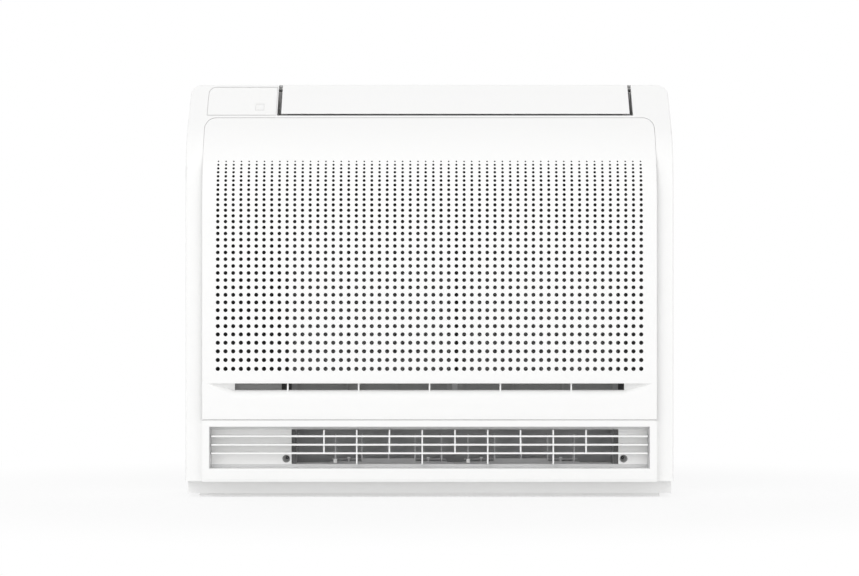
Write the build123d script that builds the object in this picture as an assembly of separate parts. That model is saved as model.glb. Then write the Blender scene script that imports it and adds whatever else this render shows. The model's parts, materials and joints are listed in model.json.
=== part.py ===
from build123d import *

import os
from math import cos, radians, sin, tan

os.makedirs("parts", exist_ok=True)

# Overall size of the console: front faces -Y, the floor is at Z = 0
width = 700.0
height = 600.0
depth = 210.0

# Fits between mouldings
seam = 1.8
panel_gap = 0.4
seat_gap = 0.3
pin_gap = 0.08

# Case moulding: side walls, flat top and sloping shoulder in one shell
case_wall = 3.0
skirt_z = 24.0
slope_angle = 53.0
top_depth = 64.0
ridge_radius = 8.0
top_corner = 16.0
case_strip = 25.0
rim_round = 2.5

# Front panel: flat, then bent back until it lies flush with the slope
panel_proud = 17.0
panel_bend = 150.0
panel_wall = 2.5
panel_edge = 3.0
panel_drop = 52.0
panel_corner = 16.0
panel_low = 113.0
panel_round = 1.0

# Inlet slot across the panel, with a rolled lip and ramped ends
slot_top = 164.6
slot_height = 9.6
slot_inset = 47.0
ramp_inset = 6.0
lip = 13.0
divider_pitch = 101.4
divider_width = 2.2
divider_depth = 7.0
ramp_tip = 0.04

# Lower outlet: drafted recess in the frame below the panel
frame_edge_height = 4.6
frame_edge_depth = 1.4
tongue_setback = 2.4
mouth_bevel = 0.3
outlet_side = 10.0
outlet_low = 43.0
outlet_high = 103.0
recess_depth = 22.0
recess_draft_side = 2.5
window_rise = 5.4
recess_draft_high = 5.0
recess_wall = 2.0
left_bay = 152.0
right_bay = 79.0
screw_inset = 7.6
screw_low = 7.6
screw_bore = 11.4
screw_tip = 5.0
screw_depth = 38.0
boss_wall = 1.4

# Bars and ribs of the outlet grille
bar_count = 3
bar_pitch = 12.15
bar_drop = 9.1
bar_height = 2.2
bar_recess = 4.0
rib_count = 9
rib_width = 2.0
rib_recess = 3.0

# Lower duct with two linked groups of upright guide vanes
duct_wall = 2.0
duct_side = 7.0
duct_depth = 74.0
duct_bend = 34.0
duct_drop = 5.0
group_size = 5
vane_margin = 62.6
vane_thick = 1.6
vane_length = 30.0
vane_setback = 26.0
vane_rise = 9.5
vane_top_gap = 8.0
vane_pin = 3.0
tab_length = 3.5
tab_drop = 3.5
knob_length = 6.0
knob_width = 5.0
knob_height = 6.0
knob_rise = 1.0
link_arm = 11.0
link_thick = 1.8
link_width = 8.0
link_drop = 3.0
link_peg = 2.4
link_slot_width = 4.0
link_slot_length = 6.0
link_slot_shift = 1.0
link_overhang = 6.0
rail_depth = 8.0
rail_rise = 2.7
rail_step = 4.2
rail_overhang = 8.0
rail_end_drop = 1.5
clip_stem = 2.5
clip_head = 4.5
clip_rise = 4.4
clip_cap = 1.5

# Upper outlet: flap hinged along the ridge over a shallow duct
flap_side_left = 134.4
flap_side_right = 59.0
flap_drop = 45.4
flap_thick = 3.0
flap_edge = 0.8
flap_seam = 5.0
flap_gap_left = 6.0
flap_gap_right = 5.0
flap_back_gap = 1.2
flap_lip = 3.0
flap_webs = 4
flap_web = 4.0
flap_rib = 5.0
flap_rib_end = 9.0
flap_pin = 4.0
flap_pin_reach = 2.0
upper_duct_wall = 2.5
upper_duct_drop = 150.0
upper_duct_step = 1.5
upper_rib_count = 9
upper_rib = 1.6
upper_rib_height = 34.0

# Control cover on the left of the slope and its receiver window
control_side = 27.0
control_drop = 47.5
control_top_gap = 4.0
control_corner = 10.0
control_thick = 1.5
control_gap = 0.6
control_ledge = 5.0
receiver_side = 17.6
receiver_width = 12.6
receiver_rise = 7.5
receiver_height = 9.7
receiver_thick = 1.0

# Air filters, inner frame and control box behind the panel
inner_setback = 35.0
inner_thick = 2.5
inner_drop = 100.0
filter_low = 140.0
filter_drop = 116.0
filter_thick = 5.0
filter_border = 8.0
filter_mesh = 0.8
filter_split = 8.0
filter_rib = 3.0
filter_rows = 4
filter_columns = 2
filter_overlap = 8.0
rib_stand = 3.0
box_margin = 4.0
box_gap = 14.0
box_depth = 14.0
box_low = 118.0
box_drop = 130.0
box_lid = 4.0
box_flange = 2.0

# Plinth, base pan and back plate
base_height = 5.0
base_side = 18.0
base_front = 47.0
base_lip = 3.1
base_step = 13.0
base_sheet = 1.5
base_rim = 3.0
base_ribs = 3
plinth_inset = 1.5
plinth_front = 45.0
plinth_wall = 4.0
plinth_floor = 3.0
upstand = 16.0
back_sheet = 1.5
back_rib_depth = 5.0
back_rib_width = 24.0
back_rib_side = 110.0
back_rib_end = 60.0
back_rib_count = 3
fix_hole = 8.0
fix_side = 90.0
fix_low = 200.0
fix_drop = 80.0
pipe_width = 60.0
pipe_height = 70.0
pipe_left = 36.0
pipe_low = 60.0
pipe_corner = 8.0

# Places worked out from the sizes above
half_width = width / 2
front_y = -depth / 2
back_y = depth / 2
lean = radians(slope_angle)
ridge_y = back_y - top_depth
flange_y = front_y + panel_proud
rim_bend = panel_bend - panel_proud / (1 - cos(lean))
panel_half = half_width - case_strip
panel_top = height - panel_drop
panel_back = flange_y + case_wall
slot_low = slot_top - slot_height
slot_half = panel_half - slot_inset
ramp = slot_inset - ramp_inset
divider_steps = int(slot_half // divider_pitch)
frame_top = panel_low - seam
air_left = left_bay - half_width
air_right = half_width - right_bay
air_middle = (air_left + air_right) / 2
outlet_half = panel_half - outlet_side
floor_y = front_y + recess_depth
floor_half = outlet_half - recess_draft_side
floor_low = outlet_low + window_rise
floor_high = outlet_high - recess_draft_high
duct_front = floor_y + recess_wall + seat_gap
duct_floor = floor_low - duct_drop
screw_x = (air_left - screw_inset, air_right + screw_inset)
screw_z = floor_low + screw_low
vane_pitch = (air_right - air_left - 2 * vane_margin) / (2 * group_size - 1)
vane_y = duct_front + vane_setback
vane_low = floor_low + vane_rise
rail_low = duct_floor + seat_gap
rail_top = floor_low + rail_rise
link_z = (vane_low - link_drop - link_thick, vane_low - link_drop)
flap_left = flap_side_left - half_width
flap_right = half_width - flap_side_right
flap_low = height - flap_drop
opening_left = flap_left - flap_gap_left
opening_right = flap_right + flap_gap_right
upper_duct_low = height - upper_duct_drop
control_left = control_side - half_width
control_right = opening_left - seam
control_low = height - control_drop
control_high = height - control_top_gap
receiver_right = control_right - receiver_side
receiver_left = receiver_right - receiver_width
receiver_low = control_low + receiver_rise
receiver_high = receiver_low + receiver_height
hinge_y = ridge_y + ridge_radius * tan((radians(90) - lean) / 2)
hinge_z = height - ridge_radius
inner_y = front_y + inner_setback
filter_high = height - filter_drop
slope = Plane(
    origin=(0, ridge_y, height),
    x_dir=(1, 0, 0),
    z_dir=(0, -cos(lean), sin(lean)),
)


def block(x, y, z):
    """Box between pairs of limits along each axis."""
    size = [high - low for low, high in (x, y, z)]
    middle = [(low + high) / 2 for low, high in (x, y, z)]
    return Pos(*middle) * Box(*size)


def rod(x, centre, radius):
    """Round bar along X between two ends, about a centre given as Y and Z."""
    return Pos((x[0] + x[1]) / 2, *centre) * Rot(0, 90, 0) * Cylinder(radius, x[1] - x[0])


def slope_place(z):
    """Distance along the slope, below the ridge, of a height on it."""
    return (z - height) / cos(lean)


def skin_profile(skin_y, bend, inset, z_low, back):
    """Side view of all that lies behind a skin: upright front, bend, slope, ridge, flat top."""
    bend_z = height - (ridge_y - skin_y) / tan(lean) - bend * tan(lean / 2)
    bend_middle = Vector(skin_y + bend, bend_z)
    ridge_middle = Vector(hinge_y, hinge_z)
    outward = Vector(-cos(lean), sin(lean))
    half_bend = Vector(-cos(lean / 2), sin(lean / 2))
    half_ridge = (outward + Vector(0, 1)).normalized()
    low = Vector(skin_y + inset, z_low)
    bend_start = Vector(skin_y + inset, bend_z)
    bend_end = bend_middle + outward * (bend - inset)
    ridge_start = ridge_middle + outward * (ridge_radius - inset)
    ridge_end = ridge_middle + Vector(0, ridge_radius - inset)
    top = Vector(back, height - inset)
    foot = Vector(back, z_low)
    edges = [
        Line(low, bend_start),
        ThreePointArc(bend_start, bend_middle + half_bend * (bend - inset), bend_end),
        Line(bend_end, ridge_start),
        ThreePointArc(ridge_start, ridge_middle + half_ridge * (ridge_radius - inset), ridge_end),
        Line(ridge_end, top),
        Line(top, foot),
        Line(foot, low),
    ]
    return Plane.YZ * make_face(edges)


def skin_solid(skin_y, bend, inset, z_low, back):
    return extrude(skin_profile(skin_y, bend, inset, z_low, back), amount=width, both=True)


def case_solid(inset):
    return skin_solid(flange_y, rim_bend, inset, skirt_z, back_y)


def panel_solid(inset):
    return skin_solid(front_y, panel_bend, inset, skirt_z, back_y)


def front_outline(half, z, corner):
    """Front view with rounded top corners, run through the whole depth."""
    sheet = Pos(0, (z[0] + z[1]) / 2) * Rectangle(2 * half, z[1] - z[0])
    sheet = fillet(sheet.vertices().group_by(Axis.Y)[-1], corner)
    return extrude(Plane.XZ * sheet, amount=depth, both=True)


def control_outline(grow):
    """Front view of the control cover, with its one rounded corner."""
    x = (control_left - grow, control_right + grow)
    z = (control_low - grow, control_high + grow)
    sheet = Pos((x[0] + x[1]) / 2, (z[0] + z[1]) / 2) * Rectangle(x[1] - x[0], z[1] - z[0])
    corner = sheet.vertices().group_by(Axis.Y)[-1].sort_by(Axis.X)[0]
    sheet = fillet(corner, control_corner + grow)
    return extrude(Plane.XZ * sheet, amount=depth, both=True)


def case():
    """Moulded shell, open at the back and behind the panel, with a bottom return in front."""
    outer = case_solid(0) & block((-half_width, half_width), (front_y, back_y), (0, height))
    sides = outer.faces().filter_by(Axis.X).edges()
    rim = sides.filter_by(lambda e: e.center().Y < back_y - rim_round and e.center().Z > skirt_z + rim_round)
    outer = fillet(rim, rim_round) & front_outline(half_width, (skirt_z, height), top_corner)
    hollow = skin_solid(flange_y, rim_bend, case_wall, skirt_z - case_wall, back_y + case_wall)
    inside_z = (skirt_z - case_wall, height - case_wall)
    hollow &= front_outline(half_width - case_wall, inside_z, top_corner - case_wall)
    shell = outer - hollow
    window_z = (skirt_z - case_wall, panel_top + panel_gap)
    shell -= front_outline(panel_half + panel_gap, window_z, panel_corner + panel_gap)
    return_x = (rim_round - half_width, half_width - rim_round)
    return_y = (flange_y, front_y + plinth_front - seam)
    return_z = (skirt_z, skirt_z + case_wall)
    notch_x = (-panel_half - panel_gap, panel_half + panel_gap)
    notch_y = (flange_y, panel_back + seat_gap)
    shell += block(return_x, return_y, return_z) - block(notch_x, notch_y, return_z)
    opening = (opening_left, opening_right)
    seam_low = slope_place(flap_low) - flap_seam
    shell -= slope * block(opening, (seam_low, 0), (-2 * case_wall, case_wall))
    shell -= rod(opening, (hinge_y, hinge_z), ridge_radius + flap_back_gap)
    shell -= control_outline(control_gap) - case_solid(control_thick + seat_gap)
    shell -= control_outline(-control_ledge) - case_solid(2 * case_wall)
    return shell


def control_cover():
    plate = control_outline(0) & (case_solid(0) - case_solid(control_thick))
    ring = control_outline(-control_ledge - control_gap) - control_outline(-control_ledge - case_wall)
    skirt = ring & (case_solid(0) - case_solid(case_wall + control_thick))
    window = block((receiver_left, receiver_right), (front_y, back_y), (receiver_low, receiver_high))
    return plate + skirt - (window - case_solid(receiver_thick))


def receiver_window():
    x = (receiver_left + seat_gap, receiver_right - seat_gap)
    z = (receiver_low + seat_gap, receiver_high - seat_gap)
    return block(x, (front_y, back_y), z) & (case_solid(0) - case_solid(receiver_thick))


def upper_flap():
    """Ribbed plate with an undercut low edge and a half tube over its hinge line, webs and pins."""
    x = (flap_left, flap_right)
    centre = (hinge_y, hinge_z)
    tangent = -ridge_radius * tan((radians(90) - lean) / 2)
    low = slope_place(flap_low)
    flap = slope * block(x, (low, tangent), (-flap_thick, 0))
    undercut = flap_low - flap_edge * sin(lean)
    flap -= block(x, (front_y, back_y), (undercut - flap_thick, undercut))
    tube = rod(x, centre, ridge_radius) - rod(x, centre, ridge_radius - flap_thick)
    keep_y = (hinge_y - ridge_radius, hinge_y + ridge_radius)
    flap += tube & block(x, keep_y, (hinge_z - flap_lip, hinge_z + ridge_radius))
    web_pitch = (flap_right - flap_left - flap_web) / (flap_webs - 1)
    for step in range(flap_webs):
        web = (flap_left + step * web_pitch, flap_left + step * web_pitch + flap_web)
        flap += rod(web, centre, ridge_radius)
        flap += slope * block(web, (low + flap_rib_end, tangent), (-flap_thick - flap_rib, -flap_thick))
    left_pin = (opening_left - flap_pin_reach, flap_left + flap_web)
    right_pin = (flap_right - flap_web, opening_right + flap_pin_reach)
    for pin in (left_pin, right_pin):
        flap += rod(pin, centre, flap_pin / 2)
    return flap


def upper_duct():
    """Open-topped duct with fixed guide ribs on its floor and bearings for the flap's pins."""
    front = ridge_y + (slope_place(flap_low) - flap_seam) * sin(lean) + upper_duct_step
    back = hinge_y + ridge_radius + flap_back_gap
    inner = block((opening_left, opening_right), (front, back), (upper_duct_low, height))
    wall = upper_duct_wall
    outer = block(
        (opening_left - wall, opening_right + wall),
        (front - wall, back + wall),
        (upper_duct_low - wall, height),
    )
    duct = (outer - inner) & case_solid(case_wall + seat_gap)
    rib_pitch = (opening_right - opening_left) / (upper_rib_count + 1)
    for step in range(upper_rib_count):
        x = opening_left + (step + 1) * rib_pitch
        rib_z = (upper_duct_low, upper_duct_low + upper_rib_height)
        duct += block((x - upper_rib / 2, x + upper_rib / 2), (front, back), rib_z)
    bores = (opening_left - wall, opening_right + wall)
    return duct - rod(bores, (hinge_y, hinge_z), flap_pin / 2 + pin_gap)


def groove_face(x, scale):
    """Section of the inlet groove at one place along the slot, shrunk towards its top edge."""
    outside = front_y - lip
    back = front_y + lip * scale
    low = slot_top - slot_height * scale
    foot = low - lip * scale
    diagonal = lip * scale * sin(radians(45))
    edges = [
        Line((outside, slot_top), (back, slot_top)),
        Line((back, slot_top), (back, low)),
        ThreePointArc((back, low), (back - diagonal, foot + diagonal), (front_y, foot)),
        Line((front_y, foot), (outside, foot)),
        Line((outside, foot), (outside, slot_top)),
    ]
    return Plane((x, 0, 0), x_dir=(0, 1, 0), z_dir=(1, 0, 0)) * make_face(edges)


def slot_backing(inner_half):
    """Flange over the slot and rolled lip under it, from wall to wall of the panel."""
    lip_low = slot_low - lip
    back = front_y + lip
    body = block((-inner_half, inner_half), (front_y, back), (lip_low, slot_top + panel_wall))
    body -= extrude(groove_face(0, 1), amount=inner_half, both=True)
    return body - rod((-inner_half, inner_half), (back, lip_low), lip - panel_wall)


def slot_end(side, inner_half):
    """Ramp that closes the groove between the slot's end and the panel's side wall."""
    fill = block((slot_half, inner_half), (front_y, front_y + lip), (slot_low - lip, slot_top))
    scoop = loft([groove_face(slot_half, 1), groove_face(slot_half + ramp, ramp_tip)])
    end = fill - scoop
    return end if side > 0 else mirror(end, Plane.YZ)


def front_panel():
    z = (panel_low, panel_top)
    plug = block((-panel_half, panel_half), (front_y, panel_back), z)
    body = (panel_solid(0) & plug) + (panel_solid(0) - panel_solid(panel_edge))
    body &= front_outline(panel_half, z, panel_corner)
    skin = body.faces().filter_by(lambda f: f.normal_at().Y < -cos(lean) / 2)
    low = panel_low + panel_round
    high = panel_top - panel_round
    rim = skin.edges().filter_by(lambda e: abs(e.center().X) > 1 or not low < e.center().Z < high)
    body = fillet(rim, panel_round)
    inner_half = panel_half - panel_wall
    inside_z = (panel_low + panel_wall, panel_top - panel_wall)
    body -= panel_solid(panel_wall) & front_outline(inner_half, inside_z, panel_corner - panel_wall)
    band = (slot_low - lip, slot_top)
    body -= block((-inner_half, inner_half), (front_y, front_y + panel_wall), band)
    body += slot_backing(inner_half)
    for side in (-1, 1):
        body += slot_end(side, inner_half)
    back = front_y + lip
    for step in range(-divider_steps, divider_steps + 1):
        x = step * divider_pitch
        divider_x = (x - divider_width / 2, x + divider_width / 2)
        divider_z = (slot_low - panel_wall, slot_top + panel_wall)
        body += block(divider_x, (back - divider_depth, back), divider_z)
    return body


def outlet_section(y, half, z, grow):
    """Section of the outlet recess at one depth, widened all round."""
    sheet = Pos(0, (z[0] + z[1]) / 2) * Rectangle(2 * (half + grow), z[1] - z[0] + 2 * grow)
    return Plane((0, y, 0), x_dir=(1, 0, 0), z_dir=(0, -1, 0)) * sheet


def recess_loft(grow, back):
    """Recess between its mouth on the front face and its floor, with drafted sides and ceiling."""
    mouth = outlet_section(front_y, outlet_half, (outlet_low, outlet_high), grow)
    floor = outlet_section(back, floor_half, (outlet_low, floor_high), grow)
    return loft([mouth, floor])


def mouth_loft():
    """Bevel round the mouth of the recess."""
    z = (outlet_low, outlet_high)
    wide = outlet_section(front_y, outlet_half, z, mouth_bevel)
    narrow = outlet_section(front_y + mouth_bevel, outlet_half, z, 0)
    return loft([wide, narrow])


def along_y(x, z, y, radius, tip_radius):
    """Round piece along Y, from its front radius to its back radius."""
    middle = Pos(x, (y[0] + y[1]) / 2, z)
    if radius == tip_radius:
        return middle * Rot(90, 0, 0) * Cylinder(radius, y[1] - y[0])
    return middle * Rot(-90, 0, 0) * Cone(radius, tip_radius, y[1] - y[0])


def outlet_frame():
    """Tray with a sloped low edge, the outlet's recess, and a tongue behind the panel's seam."""
    profile = Polyline(
        (panel_back, frame_top),
        (front_y, frame_top),
        (front_y, skirt_z + frame_edge_height),
        (front_y + frame_edge_depth, skirt_z),
        (panel_back, skirt_z),
        close=True,
    )
    tray = extrude(Plane.YZ * make_face(profile), amount=panel_half, both=True)
    inner_half = panel_half - panel_wall
    inside_z = (skirt_z + panel_wall, frame_top - panel_wall)
    tray -= block((-inner_half, inner_half), (front_y + panel_wall, panel_back), inside_z)
    tongue_y = (front_y + tongue_setback, front_y + tongue_setback + panel_wall)
    tray += block((-inner_half, inner_half), tongue_y, (frame_top, panel_low - panel_gap))
    floor_back = floor_y + recess_wall
    body = tray + recess_loft(recess_wall, floor_back)
    boss_y = (floor_y, floor_y + screw_depth + recess_wall)
    for x in screw_x:
        body += along_y(x, screw_z, boss_y, screw_bore / 2 + boss_wall, screw_bore / 2 + boss_wall)
    body -= recess_loft(0, floor_y)
    body -= mouth_loft()
    for x in screw_x:
        bore_y = (floor_y, floor_y + screw_depth)
        body -= along_y(x, screw_z, bore_y, screw_bore / 2, screw_tip / 2)
    return body - block((air_left, air_right), (floor_y, floor_back), (floor_low, floor_high))


def outlet_grille():
    bars_z = [floor_high - bar_drop - step * bar_pitch for step in range(bar_count)]
    reach = floor_half - seat_gap
    y = (front_y + bar_recess, floor_y - seat_gap)
    body = Part()
    for z in bars_z:
        body += block((-reach, reach), y, (z - bar_height / 2, z + bar_height / 2))
    rib_y = (y[0] + rib_recess, y[1])
    rib_pitch = (air_right - air_left) / (rib_count + 1)
    for step in range(rib_count):
        x = air_left + (step + 1) * rib_pitch
        low = floor_low + seat_gap if step % 2 else bars_z[-1]
        rib_x = (x - rib_width / 2, x + rib_width / 2)
        body += block(rib_x, rib_y, (low, floor_high - seat_gap))
    return body


def vane_place(group, step):
    row = group * group_size + step
    return air_middle + (row - (2 * group_size - 1) / 2) * vane_pitch


def lower_duct():
    """Scoop behind the outlet: flat floor and ceiling, end walls, bent back."""
    back = duct_front + duct_depth
    inner_x = (air_left + duct_side, air_right - duct_side)
    inner = block(inner_x, (duct_front, back - duct_wall), (duct_floor, floor_high))
    low_edge = inner.edges().filter_by(Axis.X).group_by(Axis.Z)[0].sort_by(Axis.Y)[-1]
    inner = fillet(low_edge, duct_bend)
    outer_x = (inner_x[0] - duct_wall, inner_x[1] + duct_wall)
    outer_z = (duct_floor - duct_wall, floor_high + duct_wall)
    outer = block(outer_x, (duct_front, back), outer_z)
    low_edge = outer.edges().filter_by(Axis.X).group_by(Axis.Z)[0].sort_by(Axis.Y)[-1]
    outer = fillet(low_edge, duct_bend + duct_wall)
    flange = block((air_left, air_right), (duct_front, duct_front + duct_wall), outer_z)
    return outer + flange - inner


def upright(x, y, z, radius):
    """Round pin along Z between two heights."""
    return Pos(x, y, (z[0] + z[1]) / 2) * Cylinder(radius, z[1] - z[0])


def vane_rail(group):
    """Bearing rail over half of the duct floor, stepped up towards its middle, with two clips."""
    places = [vane_place(group, step) for step in range(group_size)]
    y = (vane_y - rail_depth / 2, vane_y + rail_depth / 2)
    ends = (air_left + duct_side, air_middle, air_right - duct_side)[group : group + 2]
    rail = block((ends[0] + seat_gap, ends[1] - seat_gap), y, (rail_low, rail_top - rail_end_drop))
    rail += block((places[0] - rail_overhang, places[-1] + rail_overhang), y, (rail_low, rail_top))
    rail += block((places[1], places[-2]), y, (rail_low, rail_top + rail_step))
    for x in ((places[0] + places[1]) / 2, (places[-2] + places[-1]) / 2):
        stem_x = (x - clip_stem / 2, x + clip_stem / 2)
        stem_y = (vane_y - clip_stem / 2, vane_y + clip_stem / 2)
        head_x = (x - clip_head / 2, x + clip_head / 2)
        head_y = (vane_y - clip_head / 2, vane_y + clip_head / 2)
        clip_z = rail_top + clip_rise
        rail += block(stem_x, stem_y, (rail_top, clip_z))
        rail += block(head_x, head_y, (clip_z, clip_z + clip_cap))
    for x in places:
        rail -= upright(x, vane_y, (rail_low, rail_top + rail_step), vane_pin / 2 + pin_gap)
    return rail


def guide_vane(group, step):
    """Blade on a pivot pin, with a square peg for the link behind and a tab in front of the rail."""
    x = vane_place(group, step)
    blade_x = (x - vane_thick / 2, x + vane_thick / 2)
    blade_y = (vane_y - vane_length / 2, vane_y + vane_length / 2)
    body = block(blade_x, blade_y, (vane_low, floor_high - vane_top_gap))
    body += block(blade_x, (blade_y[0], blade_y[0] + tab_length), (vane_low - tab_drop, vane_low))
    body += upright(x, vane_y, (rail_low + seat_gap, vane_low), vane_pin / 2)
    peg_y = vane_y + link_arm
    peg = [(middle - link_peg / 2, middle + link_peg / 2) for middle in (x, peg_y)]
    body += block(*peg, (link_z[0] - seat_gap, vane_low))
    if step == 0:
        knob_x = (x - knob_width / 2, x + knob_width / 2)
        knob_y = (blade_y[0] - knob_length, blade_y[0] + tab_length)
        knob_low = floor_low + knob_rise
        body += block(knob_x, knob_y, (knob_low, knob_low + knob_height))
    return body


def vane_link(group):
    ends = (vane_place(group, 0) - link_overhang, vane_place(group, group_size - 1) + link_overhang)
    middle_y = vane_y + link_arm - link_slot_shift
    bar = block(ends, (middle_y - link_width / 2, middle_y + link_width / 2), link_z)
    slot_y = (middle_y - link_slot_length / 2, middle_y + link_slot_length / 2)
    for step in range(group_size):
        x = vane_place(group, step)
        bar -= block((x - link_slot_width / 2, x + link_slot_width / 2), slot_y, link_z)
    return bar


def inner_frame():
    """Upright frame between the case walls that carries the filters and the control box."""
    reach = half_width - case_wall - seat_gap
    z = (skirt_z + upstand + seat_gap, height - inner_drop)
    y = (inner_y, inner_y + inner_thick)
    body = block((-reach, reach), y, z)
    window_x = (air_left + filter_overlap, air_right - filter_overlap)
    window_z = (filter_low + filter_overlap, filter_high - filter_overlap)
    body -= block(window_x, y, window_z)
    post_x = (air_middle - filter_split / 2 + seat_gap, air_middle + filter_split / 2 - seat_gap)
    body += block(post_x, (inner_y - filter_thick - rib_stand, y[1]), (filter_low, filter_high))
    duct_x = (air_left - seat_gap, air_right + seat_gap)
    body -= block(duct_x, y, (z[0], floor_high + duct_wall + seat_gap))
    for x in screw_x:
        radius = screw_bore / 2 + boss_wall + seat_gap
        body -= along_y(x, screw_z, y, radius, radius)
    return body


def air_filter(side):
    """Framed filter sheet with a grid of stiffening ribs."""
    if side < 0:
        x = (air_left, air_middle - filter_split / 2)
    else:
        x = (air_middle + filter_split / 2, air_right)
    y = (inner_y - seat_gap - filter_thick, inner_y - seat_gap)
    z = (filter_low, filter_high)
    body = block(x, y, z)
    inside_x = (x[0] + filter_border, x[1] - filter_border)
    inside_z = (z[0] + filter_border, z[1] - filter_border)
    body -= block(inside_x, y, inside_z)
    mesh_y = (y[1] - filter_mesh, y[1])
    body += block(inside_x, mesh_y, inside_z)
    for step in range(1, filter_columns + 1):
        rib = inside_x[0] + step * (inside_x[1] - inside_x[0]) / (filter_columns + 1)
        body += block((rib - filter_rib / 2, rib + filter_rib / 2), y, inside_z)
    for step in range(1, filter_rows + 1):
        rib = inside_z[0] + step * (inside_z[1] - inside_z[0]) / (filter_rows + 1)
        body += block(inside_x, y, (rib - filter_rib / 2, rib + filter_rib / 2))
    return body


def control_box():
    """Closed box for the electrics, with a flanged lid."""
    x = (box_margin - panel_half + panel_wall, air_left - box_gap)
    z = (box_low, height - box_drop)
    back = inner_y - seat_gap
    lid = block(x, (back - box_depth, back - box_depth + box_lid), z)
    body_x = (x[0] + box_flange, x[1] - box_flange)
    return lid + block(body_x, (back - box_depth, back), (z[0] + box_flange, z[1] - box_flange))


def plinth():
    """Recessed skirt on a floor, stepped so that the case stands on it."""
    reach = half_width - plinth_inset
    y = (front_y + plinth_front, back_y - back_sheet - seat_gap)
    body = block((-reach, reach), y, (base_height, skirt_z))
    inner = half_width - case_wall - seat_gap
    step_y = (y[0] + case_wall, y[1])
    body += block((-inner, inner), step_y, (base_height, skirt_z + upstand))
    hollow_x = (plinth_wall - inner, inner - plinth_wall)
    hollow_y = (step_y[0] + plinth_wall, y[1])
    body -= block(hollow_x, hollow_y, (base_height + plinth_floor, skirt_z + upstand))
    shelf_y = (inner_y, step_y[0] + plinth_wall)
    shelf_z = (skirt_z + upstand - plinth_floor, skirt_z + upstand)
    return body + block((-inner, inner), shelf_y, shelf_z)


def base_pan():
    """Shallow folded pan that stands on its rim, cross ribs and a lower front lip."""
    reach = half_width - base_side
    front = front_y + base_front
    y = (front + base_step, back_y - back_sheet - seat_gap)
    body = block((-reach, reach), y, (0, base_height))
    body += block((-reach, reach), (front, y[0]), (0, base_lip))
    bay = (2 * reach - base_rim) / (base_ribs + 1)
    for step in range(base_ribs + 1):
        bay_x = (base_rim - reach + step * bay, (step + 1) * bay - reach)
        body -= block(bay_x, (y[0] + base_rim, y[1] - base_rim), (0, base_height - base_sheet))
    return body


def back_plate():
    """Steel sheet with pressed upright ribs, wall fixing holes and a pipe cut-out."""
    inset = case_wall + seat_gap
    z = (base_height, height - inset)
    sheet = block((-half_width, half_width), (back_y - back_sheet, back_y), z)
    body = sheet & front_outline(half_width - inset, z, top_corner - inset)
    rib_z = (z[0] + back_rib_end, z[1] - back_rib_end)
    spacing = 2 * (half_width - back_rib_side) / (back_rib_count - 1)
    half = back_rib_width / 2
    for step in range(back_rib_count):
        x = back_rib_side - half_width + step * spacing
        body += block((x - half, x + half), (back_y - back_rib_depth, back_y), rib_z)
        groove_x = (x - half + back_sheet, x + half - back_sheet)
        groove_z = (rib_z[0] + back_sheet, rib_z[1] - back_sheet)
        body -= block(groove_x, (back_y - back_rib_depth + back_sheet, back_y), groove_z)
    hole_y = (back_y - back_sheet, back_y)
    for x in (fix_side - half_width, half_width - fix_side):
        for hole_z in (fix_low, height - fix_drop):
            body -= along_y(x, hole_z, hole_y, fix_hole / 2, fix_hole / 2)
    pipe_middle = Pos(pipe_left - half_width + pipe_width / 2, pipe_low + pipe_height / 2)
    pipe = Plane.XZ * (pipe_middle * RectangleRounded(pipe_width, pipe_height, pipe_corner))
    return body - extrude(pipe, amount=depth, both=True)


def save(shape, name):
    export_step(shape, f"parts/{name}.step")


save(case(), "case")
save(control_cover(), "control_cover")
save(receiver_window(), "receiver_window")
save(upper_flap(), "upper_flap")
save(upper_duct(), "upper_duct")
save(front_panel(), "front_panel")
save(outlet_frame(), "outlet_frame")
save(outlet_grille(), "outlet_grille")
save(lower_duct(), "lower_duct")
for group, side_name in enumerate(("left", "right")):
    save(vane_rail(group), f"vane_rail_{side_name}")
    save(vane_link(group), f"vane_link_{side_name}")
    for step in range(group_size):
        save(guide_vane(group, step), f"guide_vane_{side_name}_{step + 1}")
save(inner_frame(), "inner_frame")
save(air_filter(-1), "air_filter_left")
save(air_filter(1), "air_filter_right")
save(control_box(), "control_box")
save(plinth(), "plinth")
save(base_pan(), "base_pan")
save(back_plate(), "back_plate")
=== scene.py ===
import json
import math

import bmesh
import bpy
from mathutils import Matrix, Vector


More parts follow.
